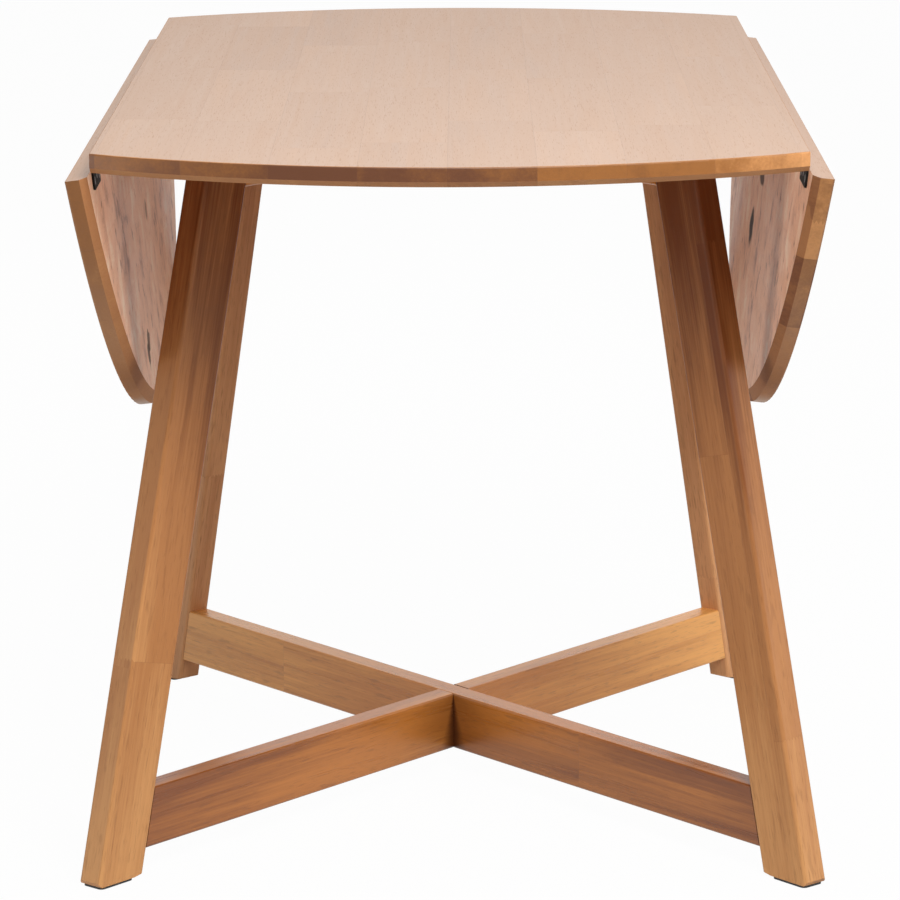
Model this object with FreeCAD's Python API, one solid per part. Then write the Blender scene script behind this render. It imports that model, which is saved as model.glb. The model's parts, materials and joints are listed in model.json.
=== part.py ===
"""Butterfly folding table: a round top whose two side leaves fold down, on a splayed cross base.

Frame: +X to the right leaf, +Y to the back, +Z up, origin on the floor under the top's centre.
The rest pose has both leaves hanging, swung a little inward to where they balance. Everything on
the right side is built with the leaf level, folded about the hinge pin, then mirrored to the left.
"""
import FreeCAD, Part
import math
import os

from FreeCAD import Vector

# ---------------------------------------------------------------- driving dimensions, mm, degrees
# Top
TABLE_HEIGHT = 757.0
TOP_DIAMETER = 1300.0
TOP_THICKNESS = 20.0
EDGE_BAND = 13.5          # upright part of the round edge, above the under-bevel
BEVEL_RUN = 12.0          # how far the under-bevel cuts in below the edge band
TOP_ARRIS = 1.5           # rounding of the top's upper round edge
JOINT_ARRIS = 0.8         # rounding of the upper edges along the straight joints
PANEL_WIDTH = 670.0       # fixed middle panel, across the two straight joints
LEAF_GAP = 1.0            # air between panel and leaf when the leaf is level
HANG_PAST_VERTICAL = 6.4  # the leaf balances about this far inside the vertical

# Base
LEG_AZIMUTH = 49.5        # plan angle between the X axis and a leg's radial plane
LEG_THICKNESS = 29.0
LEG_WIDTH = 62.5          # level width of a leg in its radial plane
FRONT_REACH = (379.4, 558.4)  # radius of a front leg's outer edge under the top and at the floor
REAR_REACH = (374.9, 541.3)   # the same for the rear legs, which splay a little less
LEG_EDGE_ROUND = 4.0
FOOT_INNER_RUN = 12.0     # level length of the shallow bevel under a foot's inner end
FOOT_INNER_RISE = 2.0
FOOT_OUTER_CHAMFER = 4.0
PAD_THICKNESS = 2.5
PAD_END_INSET = 0.5       # from the foot's inner bevel and outer chamfer
PAD_SIDE_INSET = 1.0      # from the leg's wide faces
PAD_CORNER = 5.0
MEMBER_THICKNESS = 26.0   # stretchers and top rails
MEMBER_EDGE_ROUND = 2.5
STRETCHER_HEIGHT = 61.0
STRETCHER_CLEARANCE = 28.0  # from the floor to the stretchers' underside
RAIL_HEIGHT = 57.0
LAP_CLEARANCE = 0.1
DOWEL_DIAMETER = 10.0
DOWEL_LENGTH = 60.0
DOWEL_CHAMFER = 1.0
DOWEL_PITCH = 28.0        # between the two dowels of a joint
DOWEL_CLEARANCE = 0.1
DOWEL_END_ROOM = 1.0      # glue room past each dowel end

# Screws
SCREW_DIAMETER = 4.0
SCREW_COVER = 6.0         # wood left above a screw's tip in the top
SCREW_CLEARANCE = 0.05
SCREW_RECESS_SPAN = 1.2   # length of the cross recess, in screw diameters
SCREW_RECESS_WIDTH = 1.0
SCREW_RECESS_DEPTH = 1.2
RAIL_SCREW_DIAMETER = 5.0
RAIL_SCREW_RADII = (105.0, 225.0)  # places along each half of a top rail
COUNTERBORE_DEPTH = 25.0
COUNTERBORE_DIAMETER = 12.0
LAP_SCREW_LENGTH = 48.0
PAD_SCREW_LENGTH = 16.0
PAD_SCREW_DEPTH = 0.4     # head below the pad's tread

# Hinges
HINGE_LENGTH = 64.0
HINGE_WIDTH = 20.0        # from the pin's axis to a plate's free edge
HINGE_PLATE = 2.0
HINGE_CORNER = 4.0
HINGE_SPACING = 312.0     # between neighbouring hinges along the joint
HINGES_PER_LEAF = 4
KNUCKLE_COUNT = 5
KNUCKLE_RADIUS = 3.0
KNUCKLE_END_GAP = 0.4
KNUCKLE_SIDE_GAP = 0.7
KNUCKLE_TOP_GAP = 0.2     # between the knuckles and the wood above
PIN_DIAMETER = 3.4
PIN_CLEARANCE = 0.05
PIN_CHAMFER = 0.4
HINGE_SCREW_PITCH = 22.0
HINGE_SCREW_INSET = 8.0   # of the outer screws from a plate's free edge
HINGE_SCREW_STAGGER = 3.0

# Folding stay: panel pivot, knee and leaf pivot make a rhombus with the hinge pin
STAY_REACH = 56.0         # from the hinge pin out to each pivot, level
STAY_DROP = 12.0          # of each pivot below the hinge pin when the leaf is level
ARM_THICKNESS = 3.0
ARM_WIDTH = 15.0
ARM_GAP = 0.4             # between neighbouring flat parts of a stay
BRACKET_THICKNESS = 2.5
BRACKET_LENGTH = 40.0     # along the stay
BRACKET_WIDTH = 20.0      # along the joint
BRACKET_CORNER = 2.5
BRACKET_SCREW_PITCH = 26.0
EAR_WIDTH = 20.0
RIVET_DIAMETER = 6.0
RIVET_HEAD_DIAMETER = 10.0
RIVET_HEAD_HEIGHT = 1.8
RIVET_HEAD_ROUND = 0.9
RIVET_HEAD_GAP = 0.1      # between a head and the arm beside it
RIVET_CLEARANCE = 0.08
SPRING_THICKNESS = 0.9
SPRING_LENGTH = 36.0
SPRING_OVERHANG = 6.0     # past the knee's axis

# ---------------------------------------------------------------- derived sizes
UNDERSIDE = TABLE_HEIGHT - TOP_THICKNESS
TOP_RADIUS = TOP_DIAMETER / 2
PANEL_EDGE = PANEL_WIDTH / 2
LEAF_EDGE = PANEL_EDGE + LEAF_GAP
PIN_RADIUS = PIN_DIAMETER / 2
PIN_DEPTH = KNUCKLE_RADIUS + KNUCKLE_TOP_GAP
PIN_AXIS = Vector(PANEL_EDGE + LEAF_GAP / 2, 0, UNDERSIDE - PIN_DEPTH)
FOLD_ANGLE = 90.0 + HANG_PAST_VERTICAL
SCREW_LENGTH = HINGE_PLATE + TOP_THICKNESS - SCREW_COVER
RAIL_BOTTOM = UNDERSIDE - RAIL_HEIGHT
RAIL_SCREW_LENGTH = RAIL_HEIGHT - COUNTERBORE_DEPTH + TOP_THICKNESS - SCREW_COVER
HINGE_CENTRES = [(i - (HINGES_PER_LEAF - 1) / 2) * HINGE_SPACING for i in range(HINGES_PER_LEAF)]
PANEL_PIVOT = PIN_AXIS + Vector(-STAY_REACH, 0, -STAY_DROP)
LEAF_PIVOT = PIN_AXIS + Vector(STAY_REACH, 0, -STAY_DROP)
ACROSS = 2 * TOP_DIAMETER  # longer than anything it cuts

# Each leg's azimuth and its reach under the top and at the floor
LEGS = {
    "leg_rear_right": (LEG_AZIMUTH, REAR_REACH),
    "leg_rear_left": (180.0 - LEG_AZIMUTH, REAR_REACH),
    "leg_front_left": (180.0 + LEG_AZIMUTH, FRONT_REACH),
    "leg_front_right": (-LEG_AZIMUTH, FRONT_REACH),
}

X_AXIS = Vector(1, 0, 0)
Y_AXIS = Vector(0, 1, 0)
Z_AXIS = Vector(0, 0, 1)
ORIGIN = Vector(0, 0, 0)


# ---------------------------------------------------------------- helpers
def box(low, high):
    """Box between two opposite corners."""
    size = high - low
    return Part.makeBox(size.x, size.y, size.z, low)


def prism_xz(points, thickness):
    """Prism of an outline in the XZ plane, centred on that plane along Y."""
    corners = [Vector(x, -thickness / 2, z) for x, z in points]
    face = Part.Face(Part.makePolygon(corners + corners[:1]))
    return face.extrude(Vector(0, thickness, 0))


def turned(shape, angle, axis=Z_AXIS, centre=ORIGIN):
    """Copy of a shape turned about an axis, in degrees."""
    copy = shape.copy()
    copy.rotate(centre, axis, angle)
    return copy


def moved(shape, offset):
    """Copy of a shape shifted by a vector."""
    copy = shape.copy()
    copy.translate(offset)
    return copy


def folded(shape):
    """Right leaf part, built with the leaf level, as it hangs at rest."""
    return turned(shape, FOLD_ANGLE, Y_AXIS, PIN_AXIS)


def mirrored(shape):
    """The same part on the other side of the table."""
    return shape.mirror(ORIGIN, X_AXIS)


def long_edges(shape, direction):
    """Straight edges of a shape that run along a direction."""
    found = []
    for edge in shape.Edges:
        run = edge.Vertexes[-1].Point - edge.Vertexes[0].Point
        if run.Length > 0 and run.cross(direction).Length < 1e-6 * run.Length * direction.Length:
            found.append(edge)
    return found


def cut_all(shape, tools):
    """A shape with every tool taken out of it, as one solid."""
    return shape.cut(tools).Solids[0]


def write(name, solids):
    """One STEP file for a node, of one solid or a group of separate ones."""
    shape = solids[0] if len(solids) == 1 else Part.makeCompound(solids)
    shape.exportStep(os.path.join("parts", name + ".step"))


def screw_blank(diameter, length, clearance=0.0):
    """Countersunk screw's outline turned about Z, head flat at the origin, tip up."""
    shank = diameter / 2 + clearance
    head = diameter + clearance
    cone_end = length - diameter
    outline = [Vector(0, 0, 0), Vector(head, 0, 0), Vector(shank, 0, head - shank),
               Vector(shank, 0, cone_end), Vector(0, 0, length + clearance)]
    face = Part.Face(Part.makePolygon(outline + outline[:1]))
    return face.revolve(ORIGIN, Z_AXIS, 360)


def screw(diameter, length):
    """Countersunk wood screw with a cross recess, pointing up from the origin."""
    half = diameter * SCREW_RECESS_SPAN / 2
    slot = box(Vector(-half, -SCREW_RECESS_WIDTH / 2, 0),
               Vector(half, SCREW_RECESS_WIDTH / 2, SCREW_RECESS_DEPTH))
    return cut_all(screw_blank(diameter, length), [slot, turned(slot, 90)])


def screw_hole(diameter, length):
    """Tool for the hole that a screw of this size fills."""
    return screw_blank(diameter, length, SCREW_CLEARANCE)


def rivet(low, high):
    """Round-headed rivet along Y through flat parts that span low to high."""
    shank = Part.makeCylinder(RIVET_DIAMETER / 2, high - low, Vector(0, low, 0), Y_AXIS)
    heads = []
    for face, outward in ((low, -1), (high, 1)):
        base = Part.makeCylinder(RIVET_HEAD_DIAMETER / 2, RIVET_HEAD_HEIGHT,
                                 Vector(0, face, 0), Vector(0, outward, 0))
        rim = [e for e in base.Edges if abs(e.CenterOfMass.y - face) > RIVET_HEAD_HEIGHT / 2
               and isinstance(e.Curve, Part.Circle)]
        heads.append(base.makeFillet(RIVET_HEAD_ROUND, rim))
    return shank.fuse(heads).removeSplitter().Solids[0]


# ---------------------------------------------------------------- top
def round_top():
    """The whole open top: a disc with an upright edge band over a flat under-bevel."""
    band_bottom = TABLE_HEIGHT - EDGE_BAND
    outline = [Vector(0, 0, UNDERSIDE), Vector(TOP_RADIUS - BEVEL_RUN, 0, UNDERSIDE),
               Vector(TOP_RADIUS, 0, band_bottom), Vector(TOP_RADIUS, 0, TABLE_HEIGHT),
               Vector(0, 0, TABLE_HEIGHT)]
    disc = Part.Face(Part.makePolygon(outline + outline[:1])).revolve(ORIGIN, Z_AXIS, 360)
    rim = [e for e in disc.Edges if isinstance(e.Curve, Part.Circle)
           and abs(e.CenterOfMass.z - TABLE_HEIGHT) < TOP_ARRIS]
    return disc.makeFillet(TOP_ARRIS, rim)


def eased_top(block):
    """A block with its upper edges along Y rounded."""
    edges = [e for e in long_edges(block, Y_AXIS) if e.CenterOfMass.z > TABLE_HEIGHT / 2]
    return block.makeFillet(JOINT_ARRIS, edges)


def centre_panel(disc, holes):
    """Middle of the top, between the two straight joints."""
    strip = box(Vector(-PANEL_EDGE, -ACROSS / 2, 0), Vector(PANEL_EDGE, ACROSS / 2, TABLE_HEIGHT))
    return cut_all(disc.common(eased_top(strip)), holes)


def right_leaf(disc, holes):
    """Right-hand segment of the top, level."""
    side = box(Vector(LEAF_EDGE, -ACROSS / 2, 0), Vector(ACROSS, ACROSS / 2, TABLE_HEIGHT))
    return cut_all(disc.common(eased_top(side)), holes)


# ---------------------------------------------------------------- base
def leg_outer(z, reach):
    """Radius of a leg's outer edge at a height."""
    shoulder, foot = reach
    return foot + (shoulder - foot) * z / UNDERSIDE


def leg_inner(z, reach):
    """Radius of a leg's inner edge at a height."""
    return leg_outer(z, reach) - LEG_WIDTH


def joint_dowels(middle_height, reach):
    """The two dowels between a leg and a member, in the leg's radial plane."""
    dowels = []
    for step in (-DOWEL_PITCH / 2, DOWEL_PITCH / 2):
        height = middle_height + step
        dowels.append(Vector(leg_inner(height, reach) - DOWEL_LENGTH / 2, 0, height))
    return dowels


STRETCHER_MIDDLE = STRETCHER_CLEARANCE + STRETCHER_HEIGHT / 2
RAIL_MIDDLE = RAIL_BOTTOM + RAIL_HEIGHT / 2


def dowel(start):
    """Plain dowel with chamfered ends, lying along X."""
    pin = Part.makeCylinder(DOWEL_DIAMETER / 2, DOWEL_LENGTH, start, X_AXIS)
    rims = [e for e in pin.Edges if isinstance(e.Curve, Part.Circle)]
    return pin.makeChamfer(DOWEL_CHAMFER, rims)


def dowel_hole(start):
    """Tool for a dowel's hole through both pieces, with glue room at its ends."""
    return Part.makeCylinder(DOWEL_DIAMETER / 2 + DOWEL_CLEARANCE, DOWEL_LENGTH + 2 * DOWEL_END_ROOM,
                             start - X_AXIS * DOWEL_END_ROOM, X_AXIS)


def pad_span(reach):
    """Radii of a foot pad's two ends, between the foot's bevel and chamfer."""
    return (leg_inner(PAD_THICKNESS, reach) + FOOT_INNER_RUN + PAD_END_INSET,
            leg_outer(PAD_THICKNESS, reach) - FOOT_OUTER_CHAMFER - PAD_END_INSET)


def pad_screw_head(reach):
    """Head of a foot pad's screw, in the leg's radial plane."""
    return Vector(sum(pad_span(reach)) / 2, 0, PAD_SCREW_DEPTH)


def leg(reach):
    """Splayed board in the XZ plane with level ends, eased edges and its dowel and screw holes."""
    low = PAD_THICKNESS
    high = UNDERSIDE
    heel = low + FOOT_OUTER_CHAMFER
    bevel_top = low + FOOT_INNER_RISE
    outline = [(leg_inner(low, reach) + FOOT_INNER_RUN, low),
               (leg_outer(low, reach) - FOOT_OUTER_CHAMFER, low),
               (leg_outer(heel, reach), heel), (leg_outer(high, reach), high),
               (leg_inner(high, reach), high), (leg_inner(bevel_top, reach), bevel_top)]
    board = prism_xz(outline, LEG_THICKNESS)
    slope = Vector(leg_outer(high, reach) - leg_outer(heel, reach), 0, high - heel)
    board = board.makeFillet(LEG_EDGE_ROUND, long_edges(board, slope))
    starts = joint_dowels(STRETCHER_MIDDLE, reach) + joint_dowels(RAIL_MIDDLE, reach)
    pad_hole = moved(screw_hole(SCREW_DIAMETER, PAD_SCREW_LENGTH), pad_screw_head(reach))
    return cut_all(board, [dowel_hole(start) for start in starts] + [pad_hole])


def foot_pad(reach):
    """Flat pad under a leg, with rounded corners and a countersunk screw hole."""
    inner, outer = pad_span(reach)
    half_side = LEG_THICKNESS / 2 - PAD_SIDE_INSET
    pad = box(Vector(inner, -half_side, 0), Vector(outer, half_side, PAD_THICKNESS))
    pad = pad.makeFillet(PAD_CORNER, long_edges(pad, Z_AXIS))
    head = pad_screw_head(reach)
    well = Part.makeCylinder(SCREW_DIAMETER + SCREW_CLEARANCE, head.z, Vector(head.x, 0, 0), Z_AXIS)
    return cut_all(pad, [well, moved(screw_hole(SCREW_DIAMETER, PAD_SCREW_LENGTH), head)])


def pad_screw(reach):
    """The screw of a foot pad."""
    return moved(screw(SCREW_DIAMETER, PAD_SCREW_LENGTH), pad_screw_head(reach))


def member(bottom, height, holes):
    """Board along X from a front leg on -X to a rear leg on +X, its ends cut to their edges."""
    top = bottom + height
    outline = [(-leg_inner(bottom, FRONT_REACH), bottom), (leg_inner(bottom, REAR_REACH), bottom),
               (leg_inner(top, REAR_REACH), top), (-leg_inner(top, FRONT_REACH), top)]
    board = prism_xz(outline, MEMBER_THICKNESS)
    board = board.makeFillet(MEMBER_EDGE_ROUND, long_edges(board, X_AXIS))
    middle = bottom + height / 2
    tools = [dowel_hole(start) for start in joint_dowels(middle, REAR_REACH)]
    tools += [mirrored(dowel_hole(start)) for start in joint_dowels(middle, FRONT_REACH)]
    return cut_all(board, tools + holes)


def lap_notch(bottom, height, crossing):
    """Tool for half of a half-lap, where a member crosses at an angle to the X axis."""
    half = MEMBER_THICKNESS / 2 + LAP_CLEARANCE
    notch = box(Vector(-ACROSS / 2, -half, bottom), Vector(ACROSS / 2, half, bottom + height))
    return turned(notch, crossing)


def lap_screw_place(bottom):
    """Head of the screw that holds a half-lap, flush in the lower member's underside."""
    return Vector(0, 0, bottom)


def crossed_pair(bottom, height, holes):
    """Two members half-lapped at the middle: the first is notched on top, the second below."""
    middle = bottom + height / 2
    lap_hole = moved(screw_hole(RAIL_SCREW_DIAMETER, LAP_SCREW_LENGTH), lap_screw_place(bottom))
    board = member(bottom, height, holes + [lap_hole])
    lower = board.cut(lap_notch(middle, height, -2 * LEG_AZIMUTH)).Solids[0]
    upper = board.cut(lap_notch(bottom - height / 2, height, 2 * LEG_AZIMUTH)).Solids[0]
    return turned(lower, LEG_AZIMUTH), turned(upper, 180 - LEG_AZIMUTH)


def rail_screw_places():
    """Heads of the screws that hold the top, along one rail."""
    places = []
    for radius in RAIL_SCREW_RADII:
        places += [Vector(side * radius, 0, RAIL_BOTTOM + COUNTERBORE_DEPTH) for side in (-1, 1)]
    return places


def rail_screw_tools():
    """Counterbores and holes for a rail's screws."""
    tools = []
    for place in rail_screw_places():
        below = Vector(place.x, 0, RAIL_BOTTOM)
        tools.append(Part.makeCylinder(COUNTERBORE_DIAMETER / 2, COUNTERBORE_DEPTH, below, Z_AXIS))
        tools.append(moved(screw_hole(RAIL_SCREW_DIAMETER, RAIL_SCREW_LENGTH), place))
    return tools


def at_both_rails(shapes):
    """Copies of shapes made along X, turned onto the two rails."""
    return [turned(shape, azimuth) for azimuth in (LEG_AZIMUTH, -LEG_AZIMUTH) for shape in shapes]


def at_legs(make):
    """One part for each leg, made in the XZ plane for the leg's reach, turned onto the leg."""
    return [turned(make(reach), azimuth) for azimuth, reach in LEGS.values()]


def leg_dowels(middle_height):
    """All dowels between the legs and the members at one height."""
    dowels = []
    for azimuth, reach in LEGS.values():
        dowels += [turned(dowel(start), azimuth) for start in joint_dowels(middle_height, reach)]
    return dowels


# ---------------------------------------------------------------- hinges
def knuckle_spans(first):
    """Y spans of every second knuckle, about the hinge's middle."""
    pitch = HINGE_LENGTH / KNUCKLE_COUNT
    spans = []
    for i in range(first, KNUCKLE_COUNT, 2):
        low = -HINGE_LENGTH / 2 + i * pitch + KNUCKLE_END_GAP / 2
        spans.append((low, low + pitch - KNUCKLE_END_GAP))
    return spans


def hinge_screw_places():
    """Heads of a plate's screws, from the pin's axis, for the plate on +X."""
    lower_face = PIN_DEPTH - HINGE_PLATE
    reach = HINGE_WIDTH - HINGE_SCREW_INSET
    return [Vector(reach, -HINGE_SCREW_PITCH, lower_face),
            Vector(reach - HINGE_SCREW_STAGGER, 0, lower_face),
            Vector(reach, HINGE_SCREW_PITCH, lower_face)]


def hinge_plate(first):
    """Plate on +X of the pin, level, with knuckles from the first given one, about the origin."""
    half = HINGE_LENGTH / 2
    plate = box(Vector(0, -half, PIN_DEPTH - HINGE_PLATE), Vector(HINGE_WIDTH, half, PIN_DEPTH))
    corners = [e for e in long_edges(plate, Z_AXIS) if e.CenterOfMass.x > HINGE_WIDTH / 2]
    plate = plate.makeFillet(HINGE_CORNER, corners)
    clear = KNUCKLE_RADIUS + KNUCKLE_SIDE_GAP
    own = knuckle_spans(first)
    slots = [box(Vector(-clear, -half, 0), Vector(clear, own[0][0], clear))]
    slots += [box(Vector(-clear, low[1], 0), Vector(clear, high[0], clear))
              for low, high in zip(own, own[1:])]
    slots.append(box(Vector(-clear, own[-1][1], 0), Vector(clear, half, clear)))
    rolls = [Part.makeCylinder(KNUCKLE_RADIUS, high - low, Vector(0, low, 0), Y_AXIS)
             for low, high in own]
    body = plate.cut([slot for slot in slots if slot.BoundBox.YLength > KNUCKLE_END_GAP]).fuse(rolls)
    bore = Part.makeCylinder(PIN_RADIUS + PIN_CLEARANCE, HINGE_LENGTH, Vector(0, -half, 0), Y_AXIS)
    holes = [moved(screw_hole(SCREW_DIAMETER, SCREW_LENGTH), place) for place in hinge_screw_places()]
    return cut_all(body.removeSplitter(), [bore] + holes)


def hinge_pin():
    """Pin along Y about the origin, as long as the knuckles, with chamfered ends."""
    pin = Part.makeCylinder(PIN_RADIUS, HINGE_LENGTH, Vector(0, -HINGE_LENGTH / 2, 0), Y_AXIS)
    rims = [e for e in pin.Edges if isinstance(e.Curve, Part.Circle)]
    return pin.makeChamfer(PIN_CHAMFER, rims)


def at_hinges(shape):
    """Copies of a shape made about the origin, at each hinge of the right joint."""
    return [moved(shape, PIN_AXIS + Y_AXIS * centre) for centre in HINGE_CENTRES]


# ---------------------------------------------------------------- folding stays
# A stay's flat parts lie side by side along Y about the joint's middle, in this order.
PANEL_ARM_SPAN = (-ARM_THICKNESS - ARM_GAP / 2, -ARM_GAP / 2)
LEAF_ARM_SPAN = (ARM_GAP / 2, ARM_THICKNESS + ARM_GAP / 2)
PANEL_EAR_SPAN = (PANEL_ARM_SPAN[0] - ARM_GAP - BRACKET_THICKNESS, PANEL_ARM_SPAN[0] - ARM_GAP)
LEAF_EAR_SPAN = (LEAF_ARM_SPAN[1] + ARM_GAP, LEAF_ARM_SPAN[1] + ARM_GAP + BRACKET_THICKNESS)


def rest_point(point):
    """Where a point of the level right leaf lies at rest."""
    return FreeCAD.Rotation(Y_AXIS, FOLD_ANGLE).multVec(point - PIN_AXIS) + PIN_AXIS


LEAF_PIVOT_AT_REST = rest_point(LEAF_PIVOT)
KNEE_AT_REST = PANEL_PIVOT + LEAF_PIVOT_AT_REST - PIN_AXIS


def arm(start, end, span):
    """Flat bar with round ends between two pivots, in a layer of the stay."""
    run = end - start
    low, high = span
    rise = math.degrees(math.atan2(run.z, run.x))
    bar = box(Vector(0, low, -ARM_WIDTH / 2), Vector(run.Length, high, ARM_WIDTH / 2))
    ends = [Part.makeCylinder(ARM_WIDTH / 2, high - low, Vector(x, low, 0), Y_AXIS)
            for x in (0, run.Length)]
    holes = [Part.makeCylinder(RIVET_DIAMETER / 2 + RIVET_CLEARANCE, high - low,
                               Vector(x, low, 0), Y_AXIS) for x in (0, run.Length)]
    blank = bar.fuse(ends).removeSplitter()
    return moved(turned(cut_all(blank, holes), -rise, Y_AXIS), start)


def knee_spring():
    """Flat catch spring under the leaf arm, reaching past the knee, at rest."""
    run = LEAF_PIVOT_AT_REST - KNEE_AT_REST
    rise = math.degrees(math.atan2(run.z, run.x))
    seat = -ARM_WIDTH / 2
    low = PANEL_ARM_SPAN[0]
    high = LEAF_ARM_SPAN[1]
    foot = box(Vector(SPRING_LENGTH / 2, LEAF_ARM_SPAN[0], seat - SPRING_THICKNESS),
               Vector(SPRING_LENGTH - SPRING_OVERHANG, high, seat))
    blade = box(Vector(-SPRING_OVERHANG, low, seat - 2 * SPRING_THICKNESS),
                Vector(SPRING_LENGTH - SPRING_OVERHANG, high, seat - SPRING_THICKNESS))
    return moved(turned(foot.fuse(blade).removeSplitter(), -rise, Y_AXIS), KNEE_AT_REST)


def bracket_screw_places():
    """Heads of a bracket's screws, from the point over its pivot on the underside."""
    return [Vector(side * BRACKET_SCREW_PITCH / 2, 0, -BRACKET_THICKNESS) for side in (-1, 1)]


def bracket_middle(ear_span):
    """Y of a bracket plate's middle: the ear stands along one of its edges."""
    low, high = ear_span
    return high - BRACKET_WIDTH / 2 if low < 0 else low + BRACKET_WIDTH / 2


def stay_bracket(pivot, ear_span):
    """Angle bracket under the top: a screwed plate and an ear that holds the pivot."""
    seat = Vector(pivot.x, bracket_middle(ear_span), UNDERSIDE)
    plate = box(seat - Vector(BRACKET_LENGTH / 2, BRACKET_WIDTH / 2, BRACKET_THICKNESS),
                seat + Vector(BRACKET_LENGTH / 2, BRACKET_WIDTH / 2, 0))
    plate = plate.makeFillet(BRACKET_CORNER, long_edges(plate, Z_AXIS))
    low, high = ear_span
    ear = box(Vector(pivot.x - EAR_WIDTH / 2, low, pivot.z),
              Vector(pivot.x + EAR_WIDTH / 2, high, UNDERSIDE - BRACKET_THICKNESS))
    tip = Part.makeCylinder(EAR_WIDTH / 2, high - low, Vector(pivot.x, low, pivot.z), Y_AXIS)
    bore = Part.makeCylinder(RIVET_DIAMETER / 2 + RIVET_CLEARANCE, high - low,
                             Vector(pivot.x, low, pivot.z), Y_AXIS)
    holes = [moved(screw_hole(SCREW_DIAMETER, SCREW_LENGTH), seat + place)
             for place in bracket_screw_places()]
    return cut_all(plate.fuse([ear, tip]).removeSplitter(), [bore] + holes)


def bracket_screws(pivot, ear_span, make):
    """A bracket's screws or their holes, under the top at a pivot."""
    seat = Vector(pivot.x, bracket_middle(ear_span), UNDERSIDE)
    return [moved(make(SCREW_DIAMETER, SCREW_LENGTH), seat + place) for place in bracket_screw_places()]


# ---------------------------------------------------------------- assembly
def right_panel_hardware():
    """Fixed hardware of the right joint, node name to solids."""
    plate_screws = [moved(screw(SCREW_DIAMETER, SCREW_LENGTH), place) for place in hinge_screw_places()]
    screws = [turned(part, 180) for part in plate_screws]
    pivot_rivet = moved(rivet(PANEL_EAR_SPAN[0], PANEL_ARM_SPAN[1] + RIVET_HEAD_GAP), PANEL_PIVOT)
    return {
        "hinge_panel_plates": at_hinges(turned(hinge_plate(0), 180)),
        "hinge_pins": at_hinges(hinge_pin()),
        "hinge_panel_screws": [part for piece in screws for part in at_hinges(piece)],
        "stay_panel_bracket": [stay_bracket(PANEL_PIVOT, PANEL_EAR_SPAN)],
        "stay_panel_pivot": [pivot_rivet],
        "stay_panel_screws": bracket_screws(PANEL_PIVOT, PANEL_EAR_SPAN, screw),
    }


def right_leaf_hardware():
    """Hardware that swings with the right leaf, node name to solids, at rest."""
    plate_screws = [moved(screw(SCREW_DIAMETER, SCREW_LENGTH), place) for place in hinge_screw_places()]
    pivot_rivet = moved(rivet(LEAF_ARM_SPAN[0] - RIVET_HEAD_GAP, LEAF_EAR_SPAN[1]), LEAF_PIVOT)
    level = {
        "hinge_leaf_plates": at_hinges(hinge_plate(1)),
        "hinge_leaf_screws": [part for piece in plate_screws for part in at_hinges(piece)],
        "stay_leaf_bracket": [stay_bracket(LEAF_PIVOT, LEAF_EAR_SPAN)],
        "stay_leaf_pivot": [pivot_rivet],
        "stay_leaf_screws": bracket_screws(LEAF_PIVOT, LEAF_EAR_SPAN, screw),
    }
    return {name: [folded(part) for part in parts] for name, parts in level.items()}


def right_stay_arms():
    """Moving arms of the right stay, node name to solids, at rest."""
    knee_rivet = rivet(PANEL_ARM_SPAN[0] - RIVET_HEAD_GAP, LEAF_ARM_SPAN[1] + RIVET_HEAD_GAP)
    return {
        "stay_panel_arm": [arm(PANEL_PIVOT, KNEE_AT_REST, PANEL_ARM_SPAN)],
        "stay_knee_rivet": [moved(knee_rivet, KNEE_AT_REST)],
        "stay_leaf_arm": [arm(KNEE_AT_REST, LEAF_PIVOT_AT_REST, LEAF_ARM_SPAN)],
        "stay_knee_spring": [knee_spring()],
    }


def side_holes(pivot, ear_span, turn):
    """Screw holes of one joint in the panel or in the level leaf, right side."""
    plate_tools = [moved(screw_hole(SCREW_DIAMETER, SCREW_LENGTH), place) for place in hinge_screw_places()]
    hinge_tools = [part for tool in plate_tools for part in at_hinges(turned(tool, turn))]
    return hinge_tools + bracket_screws(pivot, ear_span, screw_hole)


def build_top():
    """Panel and leaves."""
    disc = round_top()
    right_holes = side_holes(PANEL_PIVOT, PANEL_EAR_SPAN, 180)
    rail_holes = at_both_rails([moved(screw_hole(RAIL_SCREW_DIAMETER, RAIL_SCREW_LENGTH), place)
                                for place in rail_screw_places()])
    panel_holes = right_holes + [mirrored(hole) for hole in right_holes] + rail_holes
    leaf = folded(right_leaf(disc, side_holes(LEAF_PIVOT, LEAF_EAR_SPAN, 0)))
    write("centre_panel", [centre_panel(disc, panel_holes)])
    write("right_leaf", [leaf])
    write("left_leaf", [mirrored(leaf)])


def build_base():
    """Legs, pads, stretchers, top rails, dowels and the screws that join them."""
    for name, (azimuth, reach) in LEGS.items():
        write(name, [turned(leg(reach), azimuth)])
    write("foot_pads", at_legs(foot_pad))
    write("foot_pad_screws", at_legs(pad_screw))

    stretchers = crossed_pair(STRETCHER_CLEARANCE, STRETCHER_HEIGHT, [])
    rails = crossed_pair(RAIL_BOTTOM, RAIL_HEIGHT, rail_screw_tools())
    write("stretcher_lower", [stretchers[0]])
    write("stretcher_upper", [stretchers[1]])
    write("top_rail_lower", [rails[0]])
    write("top_rail_upper", [rails[1]])
    write("stretcher_dowels", leg_dowels(STRETCHER_MIDDLE))
    write("top_rail_dowels", leg_dowels(RAIL_MIDDLE))

    lap_screw = screw(RAIL_SCREW_DIAMETER, LAP_SCREW_LENGTH)
    write("lap_screws", [moved(lap_screw, lap_screw_place(bottom))
                         for bottom in (STRETCHER_CLEARANCE, RAIL_BOTTOM)])
    write("top_rail_screws", at_both_rails([moved(screw(RAIL_SCREW_DIAMETER, RAIL_SCREW_LENGTH), place)
                                            for place in rail_screw_places()]))


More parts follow.
